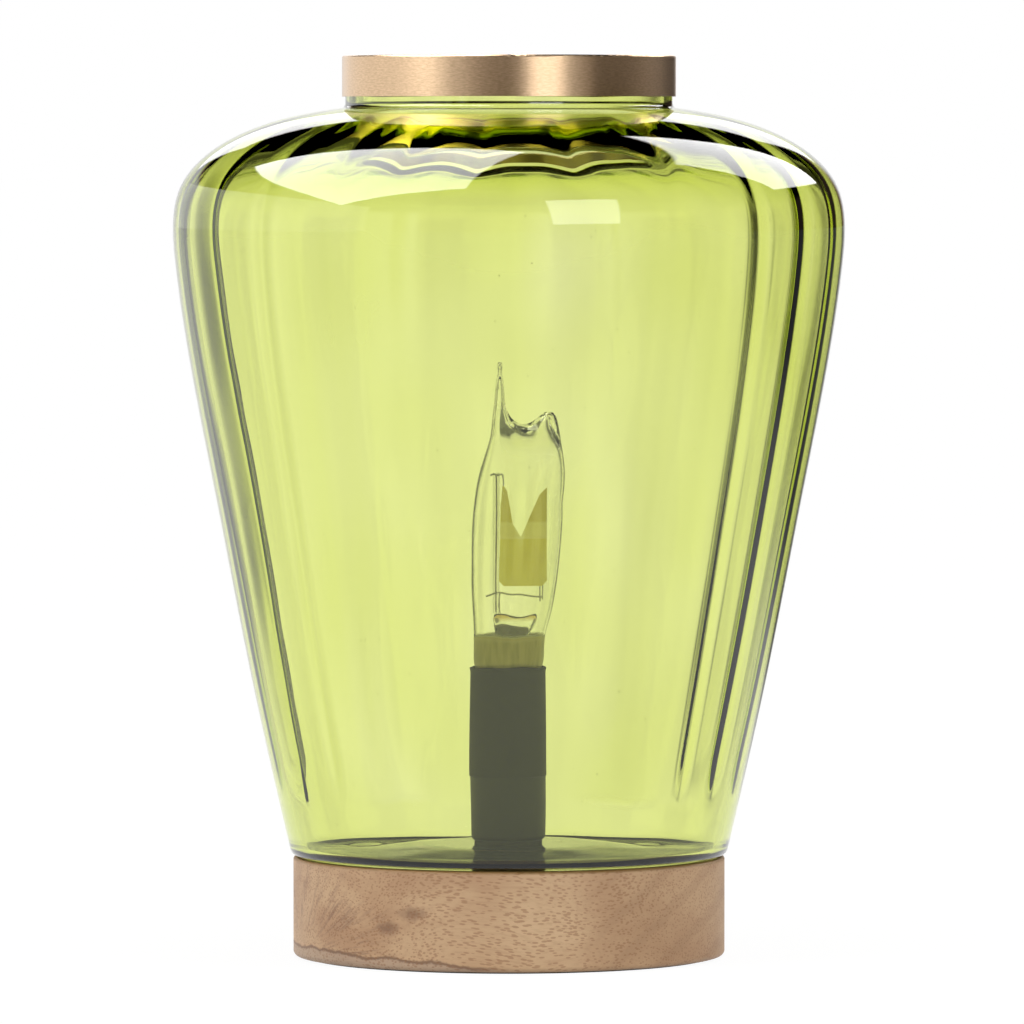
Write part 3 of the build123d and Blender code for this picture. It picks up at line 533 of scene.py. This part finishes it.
def shade_profile():
    """The closed cross-section of the glass; at each point: is it inside, and the share of ribs and of shoulder."""
    height = neck_z - shade_foot_z
    points = [(r * shade_radius, shade_foot_z + h * height) for h, r in shade_outline_shares]
    outline = natural_curve(points + [(neck_radius, neck_z)], 400)
    floor_z = shade_foot_z + glass_floor
    foot_turn = arc((outline[0][0] - foot_edge_radius * 0.8, shade_foot_z + foot_edge_radius),
                    foot_edge_radius, -90, -14, 8)
    clear = outline[outline[:, 1] > foot_turn[-1][1] + 0.4 * mm]
    clear = clear[clear[:, 0] > neck_radius + neck_fillet]
    neck_turn = arc((neck_radius + neck_fillet, clear[-1][1] + neck_fillet), neck_fillet, -100, -180, 6)
    rim_radius = glass_wall / 2 * 0.9
    throat_radius = neck_radius - glass_wall
    under = even(np.array([(pipe_hole_radius, shade_foot_z), (foot_turn[0][0] - mm, shade_foot_z)]), 100)
    across = np.clip((under[:, 0] - kick_low_radius) / (kick_high_radius - kick_low_radius), 0, 1)
    under[:, 1] += kick_depth * np.interp(across, kick_shares[0], kick_shares[1])
    outer = np.vstack([
        under,
        foot_turn,
        even(clear, 130),
        neck_turn,
        even(np.array([(neck_radius, neck_turn[-1][1] + mm), (neck_radius, rim_z - rim_radius - 0.3 * mm)]), 6),
        arc((neck_radius - rim_radius, rim_z - rim_radius), rim_radius, 0, 90, 6),
    ])
    along = np.linspace(0, 1, len(outline))
    thickness = glass_wall + shoulder_extra * np.interp(along, *zip(*shoulder_extra_shares))
    thickness = np.convolve(np.pad(thickness, 12, "edge"), np.ones(25) / 25, "valid")
    inside = inward(outline, thickness[:, None])
    low_z = floor_z - floor_dip
    keep = (inside[:, 1] > low_z + bowl_corner_radius * 0.8) & (inside[:, 0] > throat_radius + throat_fillet)
    inside, along = inside[keep][::-1], along[keep][::-1]
    share = np.linspace(along[0], along[-1], 150)
    ribbed = np.stack([np.interp(share[::-1], along[::-1], inside[::-1, k])[::-1] for k in range(2)], 1)
    throat_turn = arc((throat_radius + throat_fillet, inside[0][1] + throat_fillet), throat_fillet, 180, 265, 6)
    bowl_turn = arc((inside[-1][0] - bowl_corner_radius, low_z + bowl_corner_radius), bowl_corner_radius, -12, -90, 14)
    across = np.linspace(bowl_turn[-1][0] - 1 * mm, pipe_hole_radius, 60)
    dip = np.clip((across - floor_dip_radii[0]) / (floor_dip_radii[1] - floor_dip_radii[0]), 0, 1)
    floor_top = np.stack([across, floor_z - floor_dip * dip ** 2 * (3 - 2 * dip)], 1)
    inner_top = np.vstack([
        arc((throat_radius + rim_radius, rim_z - rim_radius), rim_radius, 95, 180, 6),
        even(np.array([(throat_radius, rim_z - rim_radius - 0.3 * mm), (throat_radius, throat_turn[0][1] + 0.5 * mm)]), 5),
        throat_turn,
    ])
    inner_low = np.vstack([
        bowl_turn,
        floor_top,
        [(pipe_hole_radius, (floor_z + shade_foot_z) / 2)],
    ])
    line = np.vstack([outer, inner_top, ribbed, inner_low])
    inner = np.arange(len(line)) >= len(outer)
    depth, shoulder, floor_share = np.zeros(len(line)), np.zeros(len(line)), np.zeros(len(line))
    first = len(outer) + len(inner_top)
    depth[first:first + len(ribbed)] = np.interp(share, *zip(*rib_depth_shares))
    shoulder[first:first + len(ribbed)] = np.interp(share, shoulder_rib_shares, (0, 1))
    low = first + len(ribbed)
    floor_share[low:-1] = np.interp(line[low:-1, 0], (20 * mm, 30 * mm, 54 * mm, 57 * mm), (0, 1, 1, 0))
    return line, inner, depth, shoulder, floor_share


def ribs():
    """Every rib's azimuth in radians from +X, then its depth, half widths in degrees and power."""
    gap = (360 - front_ribs[-1][0] + front_ribs[0][0]) / (back_rib_count + 1)
    rows = list(front_ribs)
    for rib in range(back_rib_count):
        depth = back_rib_depth * (1 + 0.5 * noise.noise(Vector((rib * 0.77, 2.0, 0.0))))
        rows.append((front_ribs[-1][0] + gap * (rib + 1), depth, wide_rib, wide_rib, 2))
    return [(radians(turn - 90), *rest) for turn, *rest in rows]


def glass_shade():
    line, inner, depth, shoulder, floor_share = shade_profile()
    columns = np.arange(shade_columns) * 2 * pi / shade_columns
    rib_rows = ribs()
    rings = []
    for (radius, level), inside, deep, high, wavy in zip(line, inner, depth, shoulder, floor_share):
        ring = np.full(shade_columns, radius)
        if inside:
            ripple = np.array([noise.noise(Vector((cos(a) * 2.2, sin(a) * 2.2, level * 14))) for a in columns])
            fade = min(1.0, max(0.0, (rim_z - level) / 0.02))
            ring += (ripple - 0.2) * wall_waviness * fade
            waves = np.array([noise.noise(Vector((cos(a) * 3, sin(a) * 3, level * 26))) for a in columns])
            ring += waves * np.clip(np.sin(columns), 0, 1) * back_waviness * fade * (1 - wavy) * (level > low_wall_z)
        if deep:
            for rib, (azimuth, rib_depth, left, right, power) in enumerate(rib_rows):
                sway = radians(rib_sway) * noise.noise(Vector((rib * 7.3, 0.0, level * 11)))
                turn = (columns - azimuth - sway + pi) % (2 * pi) - pi
                half = np.where(turn < 0, left, right)
                half += (wide_rib - half) * high
                reach = np.clip(np.hypot(turn / np.radians(half), rib_crest_round), 0, 1)
                ring -= (1 - reach) ** power * deep * (rib_depth + (shoulder_rib_depth - rib_depth) * high)
        heights = np.full(shade_columns, level)
        if wavy:
            spots = [Vector((radius * cos(a), radius * sin(a), 0.0)) * floor_wave_scale for a in columns]
            heights += wavy * floor_wave * np.array([noise.noise(spot) for spot in spots])
        rings.append(np.stack([ring * np.cos(columns), ring * np.sin(columns), heights], 1))
    piece = mesh_object("glass_jar", np.vstack(rings), loop_faces(len(line), shade_columns),
                        materials["green_glass"], 60)
    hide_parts("glass_shade")
    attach(piece, "lamp")


glass_shade()


# Bulb

flame_radius = 13.0 * mm
flame_height = 91.3 * mm
cap_top_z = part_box("bulb_cap")[1].z
envelope_low, envelope_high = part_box("bulb_envelope")
bulb_wall = 0.55 * mm
valley_wall = 1.6 * mm
valley_z = 150.5 * mm
valley_reach = 4.5 * mm
# How softly the lobe flows into the flame: low down and at the valley, and the shares of the height between them
valley_blend = (0.6 * mm, 7.0 * mm)
valley_blend_shares = (0.56, 0.72)
# Oval sections from the cap to the tip: share of the height, then offset and half sizes across and deep, as shares
# of the radius
flame_shares = (
    (0.000, 0.000, 0.400, 0.400), (0.027, 0.000, 0.620, 0.620), (0.063, 0.010, 0.755, 0.755),
    (0.109, 0.018, 0.782, 0.782), (0.156, 0.030, 0.800, 0.795), (0.209, 0.075, 0.862, 0.850),
    (0.272, 0.110, 0.925, 0.910), (0.335, 0.135, 0.965, 0.950), (0.404, 0.160, 0.988, 0.970),
    (0.478, 0.185, 1.000, 0.980), (0.546, 0.205, 0.985, 0.955), (0.604, 0.210, 0.935, 0.895),
    (0.662, 0.195, 0.845, 0.800), (0.715, 0.145, 0.700, 0.665), (0.763, 0.040, 0.500, 0.490),
    (0.802, -0.130, 0.290, 0.310), (0.836, -0.215, 0.180, 0.190), (0.886, -0.240, 0.112, 0.115),
    (0.942, -0.235, 0.072, 0.072), (0.968, -0.235, 0.048, 0.048), (0.985, -0.232, 0.062, 0.062),
    (0.995, -0.230, 0.036, 0.036),
)
lobe_shares = (
    (0.400, 0.350, 0.600, 0.580), (0.546, 0.500, 0.650, 0.620), (0.599, 0.540, 0.645, 0.610),
    (0.652, 0.575, 0.620, 0.570), (0.710, 0.630, 0.530, 0.480), (0.768, 0.675, 0.440, 0.370),
    (0.805, 0.745, 0.320, 0.260), (0.827, 0.810, 0.210, 0.160), (0.842, 0.850, 0.090, 0.060),
)
field_step = (0.42 * mm, 0.42 * mm, 0.7 * mm)
rod_wall = 0.25 * mm
stem_top_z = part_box("bulb_stem")[1].z
stem_wave = 1.0 * mm
stem_wave_length = 1.9 * mm
wire_radius = 0.25 * mm
wire_sides = 10
# Wires in front of the rod and behind it: bends in X and in height above the stem
wire_front_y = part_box("support_wires")[0].y + wire_radius
front_wires = (
    ((-7.0 * mm, 4.9 * mm), (-5.6 * mm, 5.4 * mm), (-3.6 * mm, 6.0 * mm), (-0.5 * mm, 5.5 * mm),
     (3.0 * mm, 5.4 * mm), (6.4 * mm, 4.9 * mm), (9.7 * mm, 4.7 * mm)),
    ((9.7 * mm, 3.9 * mm), (9.75 * mm, 7.0 * mm), (9.7 * mm, 10.2 * mm)),
    ((9.0 * mm, 3.4 * mm), (8.9 * mm, 7.0 * mm), (9.0 * mm, 10.2 * mm)),
    ((-3.0 * mm, 0.2 * mm), (-3.2 * mm, 2.6 * mm), (-3.0 * mm, 5.9 * mm)),
)
back_wires = (
    ((-5.9 * mm, 38.8 * mm), (-4.9 * mm, 39.2 * mm), (-3.6 * mm, 38.9 * mm), (-2.5 * mm, 39.1 * mm),
     (-2.2 * mm, 38.3 * mm), (-2.3 * mm, 33.9 * mm)),
    ((-4.2 * mm, 0.2 * mm), (-4.3 * mm, 12.0 * mm), (-4.1 * mm, 26.0 * mm), (-4.2 * mm, 39.2 * mm)),
)
stem_shares = (
    (0.00, 0.00, 0.31, 0.31), (0.30, 0.00, 0.31, 0.31), (0.60, 0.00, 0.29, 0.27), (0.75, 0.06, 0.40, 0.20),
    (0.88, 0.12, 0.49, 0.125), (0.97, 0.123, 0.50, 0.11), (1.00, 0.123, 0.47, 0.08),
)


def oval_field(x, y, z, rows, height, power=2):
    """Distance, roughly, from a form through oval sections above the cap; negative inside."""
    rows = np.array(rows)
    sections = natural_curve(np.column_stack([cap_top_z + rows[:, 0] * height, rows[:, 1:] * flame_radius]), 400)
    held = np.clip(z, sections[0, 0], sections[-1, 0])
    offset, across, deep = (np.interp(held, sections[:, 0], sections[:, k]) for k in (1, 2, 3))
    reach = (np.abs((x - offset) / across) ** power + np.abs(y / deep) ** power) ** (1 / power)
    flat = (reach - 1) * np.minimum(across, deep)
    return np.where(z > held, np.hypot(np.maximum(flat, 0), z - held), flat)


def flame_field(x, y, z):
    """The outside of the bulb's glass, the lobe flowing into the flame."""
    main = oval_field(x, y, z, flame_shares, flame_height)
    lobe = oval_field(x, y, z, lobe_shares, flame_height)
    lobe = np.maximum(lobe, cap_top_z + lobe_shares[0][0] * flame_height - z)
    blend = np.interp(z, cap_top_z + np.array(valley_blend_shares) * flame_height, valley_blend)
    share = np.clip(0.5 + 0.5 * (lobe - main) / blend, 0, 1)
    both = lobe + (main - lobe) * share - blend * share * (1 - share)
    return np.maximum(both, envelope_low.z - z)


def flame_inside_field(x, y, z):
    """The inside of the bulb's glass, which is thick along the valley and the lobe's top."""
    near = np.exp(-((z - valley_z) / valley_reach) ** 2) * np.clip((x + 3 * mm) / (4 * mm), 0, 1)
    return flame_field(x, y, z) + bulb_wall + valley_wall * near


def stem_field(x, y, z):
    """The pinched stem, its top edge a little wavy."""
    wave = stem_wave * (1 + np.sin(x / stem_wave_length)) / 2
    return np.maximum(oval_field(x, y, z + wave, stem_shares, stem_top_z - cap_top_z, 3), cap_top_z - z)


def field_surface(field, low, high):
    """The surface where a field is zero: a point in each cell that it crosses, moved onto it, and quads between."""
    step = np.array(field_step)
    low = np.array(low) - 2.3 * step
    counts = np.ceil((np.array(high) - low) / step).astype(int) + 3
    grid = np.meshgrid(*[low[k] + np.arange(counts[k]) * step[k] for k in range(3)], indexing="ij")
    inside = field(*grid) < 0
    corners = [inside[i:i + counts[0] - 1, j:j + counts[1] - 1, k:k + counts[2] - 1].astype(int)
               for i in (0, 1) for j in (0, 1) for k in (0, 1)]
    total = sum(corners)
    crossed = (total > 0) & (total < 8)
    number = np.full(crossed.shape, -1)
    number[crossed] = np.arange(crossed.sum())
    middles = low + (np.argwhere(crossed) + 0.5) * step
    points = middles.copy()
    for _ in range(8):
        value = field(*points.T)
        slope = np.stack([(field(*(points + shift).T) - field(*(points - shift).T)) / (2 * shift.sum())
                          for shift in np.eye(3) * 0.02 * mm], 1)
        points -= slope * (value / np.maximum((slope ** 2).sum(1), 0.05))[:, None]
        points = np.clip(points, middles - 0.9 * step, middles + 0.9 * step)
    faces = []
    for axis in range(3):
        one, two = [k for k in range(3) if k != axis]
        first = inside.take(range(counts[axis] - 1), axis)
        second = inside.take(range(1, counts[axis]), axis)
        for leaving in (True, False):
            edges = np.argwhere(first & ~second if leaving else second & ~first)
            around = []
            for i, j in ((-1, -1), (0, -1), (0, 0), (-1, 0)):
                cell = edges.copy()
                cell[:, one] += i
                cell[:, two] += j
                around.append(number[tuple(cell.T)])
            quads = np.stack(around, 1)
            faces.append(quads if leaving == (axis != 1) else quads[:, ::-1])
    return points, np.vstack(faces)


def bulb_envelope():
    low, high = np.array(envelope_low), np.array(envelope_high)
    outer, outer_faces = field_surface(flame_field, low, high)
    inner, inner_faces = field_surface(flame_inside_field, low, high)
    faces = np.vstack([outer_faces, inner_faces[:, ::-1] + len(outer)])
    piece = mesh_object("flame_glass", np.vstack([outer, inner]), faces, materials["bulb_glass"], 180)
    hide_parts("bulb_envelope")
    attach(piece, "bulb")


def bulb_stem():
    points, faces = field_surface(stem_field, *map(np.array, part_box("bulb_stem")))
    piece = mesh_object("pinched_stem", points, faces, materials["stem_glass"], 180)
    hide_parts("bulb_stem")
    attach(piece, "bulb")


def wire_mesh(bends, y):
    """A round wire through bends that lie in one upright plane: its points and faces."""
    middle = natural_curve([(x, stem_top_z + rise) for x, rise in bends], 12 * len(bends))
    along = np.gradient(middle, axis=0)
    along /= np.linalg.norm(along, axis=1)[:, None]
    turns = np.arange(wire_sides) * 2 * pi / wire_sides
    across = middle[:, None] + wire_radius * np.sin(turns)[None, :, None] * along[:, None, ::-1] * (-1, 1)
    deep = np.broadcast_to(y + wire_radius * np.cos(turns), across.shape[:2])
    points = np.stack([across[..., 0], deep, across[..., 1]], -1).reshape(-1, 3)
    sides = [tuple(face) for face in loop_faces(len(middle), wire_sides)[:-wire_sides]]
    ends = [tuple(range(wire_sides))[::-1], tuple(range(len(points) - wire_sides, len(points)))]
    return points, sides + ends


def support_wires():
    points, faces = [], []
    for wires, y in ((front_wires, wire_front_y), (back_wires, -wire_front_y)):
        for bends in wires:
            more, sides = wire_mesh(bends, y)
            faces += [tuple(corner + len(points) for corner in face) for face in sides]
            points += list(more)
    piece = mesh_object("bent_wires", points, faces, materials["nickel_wire"], 60)
    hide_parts("support_wires")
    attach(piece, "bulb")


def support_rod():
    """Drawn glass tube with softened ends."""
    low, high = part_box("support_rod")
    middle, radius = (low + high) / 2, (high.x - low.x) / 2
    soft = rod_wall / 2
    line = np.array([
        (radius - rod_wall, low.z + soft), (radius - soft, low.z), (radius, low.z + soft),
        (radius, high.z - soft), (radius - soft, high.z), (radius - rod_wall, high.z - soft),
    ])
    piece = lathe("glass_rod", line, 32, materials["rod_glass"], 60, (middle.x, middle.y))
    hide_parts("support_rod")
    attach(piece, "bulb")


bulb_envelope()
bulb_stem()
support_wires()
support_rod()


# Candle sleeve

sleeve_low, sleeve_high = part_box("candle_sleeve")
sleeve_wall = 0.75 * mm
lip_flare = 0.25 * mm
lip_height = 1.4 * mm


def candle_sleeve():
    """Card tube with a worn, slightly flared lip and uneven ends."""
    radius = sleeve_high.x - lip_flare
    levels = np.concatenate([np.linspace(0, 0.9, 12), np.linspace(0.93, 1, 8)])
    top = sleeve_high.z - 0.25 * mm
    heights = sleeve_low.z + 0.2 * mm + levels * (top - sleeve_low.z - 0.2 * mm)
    flare = lip_flare * np.clip((heights - top + lip_height) / lip_height, 0, 1) ** 2
    outer = np.stack([radius + flare, heights], 1)
    inner = np.stack([radius + flare - sleeve_wall, heights], 1)[::-1]
    turn = arc((outer[-1][0] - sleeve_wall / 2, top), sleeve_wall / 2, 20, 160, 6)
    line = np.vstack([outer, turn, inner])

    def uneven(azimuth, place, level):
        end = np.clip((level - (sleeve_high.z - 6 * mm)) / (6 * mm), 0, 1)
        wave = noise.noise(Vector((cos(azimuth) * 1.6, sin(azimuth) * 1.6, 3.0)))
        dent = noise.noise(Vector((cos(azimuth) * 1.2, sin(azimuth) * 1.2, level * 40)))
        return place + dent * 0.12 * mm, level + wave * 0.5 * mm * end - 0.25 * mm * end

    piece = lathe("card_sleeve", line, 96, materials["sleeve_card"], 50, change=uneven)
    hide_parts("candle_sleeve")
    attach(piece, "lamp")


candle_sleeve()


# Stage, lights and camera

camera_place = (0.85 * mm, -2.7, 0.233)
camera_tilt = 2.28
camera_lens = 337
camera_sensor = 36
plain_level = 0.7
floor_glow = 1.05
floor_white_reach = (0.4, 1.0)
# What glass shows behind it: brightness within each of eight equal parts of the turn, the first from 17 degrees to
# the left of straight behind; and the ceiling's start and end
through_levels = ((0.0, 0.12), (0.04, 1.04), (0.35, 1.04), (0.54, 0.9), (0.66, 0.12), (0.98, 0.12), (1.0, 0.12))
through_start = 17 / 45
ceiling_heights = (0.25, 0.45)
ceiling_dark = 0.12
# What mirrors show: brightness of the walls by azimuth in degrees from +Y towards +X, and where they end upwards
wall_levels = (
    (-180, 0.25), (-150, 0.29), (-147, 1.1), (-144, 0.4), (-141, 0.1), (-139, 0.8), (-60, 1.1), (-14, 1.0),
    (-9, 1.0), (9, 1.0), (17, 0.06), (42, 0.06), (60, 0.12), (114, 0.12), (117, 0.04), (119, 0.22), (131, 0.6),
    (142, 0.75), (144, 0.2), (146, 1.0), (150, 0.7), (152, 0.95), (166, 0.8), (174, 0.34), (180, 0.25),
)
wall_dark_tint = (1.0, 0.66, 0.45)
wall_heights = (0.22, 0.3)
# Softboxes that mirrors show: brightness, azimuth, elevation and roll in degrees, reach across and upward
softboxes = (
    (2.4, -1.5, 18, 0, (-0.26, 0.26), (-0.115, 0.115)),
    (6.0, 40.4, 36.5, 20, (-0.25, 0.34), (-0.30, 0.33)),
    (8.0, -90, 49, 20, (-0.70, 0.70), (-0.28, 0.75)),
    (1.3, -88, 0, 0, (-0.9, 2.3), (-1.0, 0.454)),
    (5.0, 153.5, 17.5, 0, (-0.21, 0.21), (-0.22, 0.22)),
)
softbox_edge = 0.012


def full_turn(tree, x, y):
    """Azimuth as a share of a full turn, counted from -Y: -Y is 0, -X 0.25, +Y 0.5 and +X 0.75."""
    turn = maths(tree, "ARCTAN2", x, y)
    return maths(tree, "ADD", 0.5, maths(tree, "DIVIDE", turn, 2 * pi))


def ramp(tree, place, stops):
    """Brightness by place between 0 and 1, in straight lines between the stops."""
    made = add(tree, "ShaderNodeValToRGB", {"Fac": place})
    elements = made.color_ramp.elements
    peak = max(level for _, level in stops)
    for _ in stops[2:]:
        elements.new(1.0)
    for element, (position, level) in zip(elements, stops):
        element.position = position
        element.color = (*[level / peak] * 3, 1)
    return maths(tree, "MULTIPLY", made.outputs["Color"], peak)


def seen_through(tree, turn):
    """Brightness that glass shows behind it: white behind each of eight sides, and darker towards the right."""
    return ramp(tree, maths(tree, "FRACT", maths(tree, "ADD", maths(tree, "MULTIPLY", turn, 8), through_start)),
                through_levels)


def seen_mirrored(tree, turn):
    """Brightness that the studio's walls have in a mirror."""
    return ramp(tree, turn, [((azimuth + 180) / 360, level) for azimuth, level in wall_levels])


def by_ray(tree, plain, mirrored, through, camera):
    """The brightness for each kind of ray; a ray through glass counts as mirrored too, so that comes first.

    What lights a dull surface is plain, through glass too.
    """
    path = add(tree, "ShaderNodeLightPath")
    direct = maths(tree, "LESS_THAN", path.outputs["Diffuse Depth"], 0.5)
    level = plain
    for ray, seen in (("Is Glossy Ray", mirrored), ("Is Transmission Ray", through), ("Is Camera Ray", camera)):
        share = maths(tree, "MULTIPLY", path.outputs[ray], direct)
        level = maths(tree, "ADD", level, maths(tree, "MULTIPLY", share, maths(tree, "SUBTRACT", seen, level)))
    return level


def softbox(tree, direction, azimuth, elevation, roll, across, upward):
    """A rectangle in the mirror world: 1 inside and 0 outside. Its sides are tangents from the given direction."""
    a, e, r = radians(azimuth), radians(elevation), radians(roll)
    centre = Vector((cos(e) * sin(a), cos(e) * cos(a), sin(e)))
    level = Vector((cos(a), -sin(a), 0))
    rise = Vector((-sin(e) * sin(a), -sin(e) * cos(a), cos(e)))
    right = level * cos(r) + rise * sin(r)
    up = rise * cos(r) - level * sin(r)
    depth, x, y = (add(tree, "ShaderNodeVectorMath", {0: direction, 1: axis}, operation="DOT_PRODUCT").outputs["Value"]
                   for axis in (centre, right, up))
    mask = maths(tree, "GREATER_THAN", depth, 0.05)
    for part, (low, high) in ((x, across), (y, upward)):
        place = maths(tree, "DIVIDE", part, depth)
        mask = maths(tree, "MULTIPLY", mask, smooth_step(tree, place, low - softbox_edge, low + softbox_edge))
        mask = maths(tree, "MULTIPLY", mask, smooth_step(tree, place, high - softbox_edge, high + softbox_edge, 1.0, 0.0))
    return mask


def floor():
    mesh = bpy.data.meshes.new("floor")
    reach = 40
    mesh.from_pydata([(-reach, -reach, 0), (reach, -reach, 0), (reach, reach, 0), (-reach, reach, 0)], [], [(0, 1, 2, 3)])
    piece = bpy.data.objects.new("floor", mesh)
    bpy.context.scene.collection.objects.link(piece)
    material, tree, shader = new_material("floor_white")
    set_inputs(tree, shader, Base_Color=(0.8, 0.8, 0.8), Roughness=0.9, Specular_IOR_Level=0.0)
    place = add(tree, "ShaderNodeTexCoord").outputs["Object"]
    parts = add(tree, "ShaderNodeSeparateXYZ", {0: place})
    distance = add(tree, "ShaderNodeVectorMath", {0: place}, operation="LENGTH").outputs["Value"]
    turn = full_turn(tree, parts.outputs[0], parts.outputs[1])
    far = smooth_step(tree, distance, *floor_white_reach)
    levels = []
    for level in (seen_through(tree, turn), seen_mirrored(tree, turn)):
        near = maths(tree, "MULTIPLY", maths(tree, "SUBTRACT", level, 1.0), far)
        levels.append(maths(tree, "MULTIPLY", maths(tree, "ADD", 1.0, near), floor_glow))
    strength = by_ray(tree, 0.0, levels[1], levels[0], floor_glow)
    glow = add(tree, "ShaderNodeEmission", {"Color": (1, 1, 1, 1), "Strength": strength})
    blend = add(tree, "ShaderNodeMixShader", {0: by_ray(tree, 0.0, 0.9, 0.9, 0.9)})
    tree.links.new(shader.outputs[0], blend.inputs[1])
    tree.links.new(glow.outputs[0], blend.inputs[2])
    tree.links.new(blend.outputs[0], tree.nodes["Material Output"].inputs["Surface"])
    mesh.materials.append(material)


def world():
    """White for the camera; glass shows white with darker bands behind it; mirrors see walls and softboxes."""
    scene_world = bpy.data.worlds.new("studio")
    bpy.context.scene.world = scene_world
    scene_world.use_nodes = True
    tree = scene_world.node_tree
    direction = add(tree, "ShaderNodeTexCoord").outputs["Generated"]
    parts = add(tree, "ShaderNodeSeparateXYZ", {0: direction})
    turn = full_turn(tree, parts.outputs[0], parts.outputs[1])
    height = parts.outputs[2]
    through = maths(tree, "MULTIPLY", seen_through(tree, turn), smooth_step(tree, height, *ceiling_heights, 1.0, ceiling_dark))
    mirrored = maths(tree, "MULTIPLY", seen_mirrored(tree, turn), smooth_step(tree, height, *wall_heights, 1.0, 0.0))
    for brightness, *box in softboxes:
        lit = maths(tree, "MULTIPLY", softbox(tree, direction, *box), brightness)
        mirrored = maths(tree, "MAXIMUM", mirrored, lit)
    tree.links.new(by_ray(tree, plain_level, mirrored, through, 1.0), tree.nodes["Background"].inputs["Strength"])
    warm = by_ray(tree, 0.0, smooth_step(tree, mirrored, 0.1, 0.8, 1.0, 0.0), 0.0, 0.0)
    tree.links.new(mixed(tree, warm, (1, 1, 1), wall_dark_tint), tree.nodes["Background"].inputs["Color"])


def area_light(name, place, target, width, height, watts):
    light = bpy.data.lights.new(name, "AREA")
    light.shape = "RECTANGLE"
    light.size, light.size_y = width, height
    light.energy = watts
    lamp = bpy.data.objects.new(name, light)
    lamp.location = place
    lamp.rotation_euler = (Vector(target) - Vector(place)).to_track_quat("-Z", "Y").to_euler()
    lamp.visible_camera = False
    lamp.visible_transmission = False
    lamp.visible_glossy = False
    bpy.context.scene.collection.objects.link(lamp)


def camera():
    data = bpy.data.cameras.new("camera")
    data.lens = camera_lens
    data.sensor_width = camera_sensor
    data.clip_end = 50
    piece = bpy.data.objects.new("camera", data)
    piece.location = camera_place
    piece.rotation_euler = (radians(90 - camera_tilt), 0, 0)
    bpy.context.scene.collection.objects.link(piece)
    bpy.context.scene.camera = piece


floor()
world()
area_light("left_softbox", (-1.1, -0.9, 0.9), (0, 0, 0.12), 0.5, 1.0, 7)
area_light("right_softbox", (1.2, -0.7, 0.9), (0, 0, 0.12), 0.5, 1.0, 5.5)
camera()
bpy.context.scene.view_settings.view_transform = "Standard"
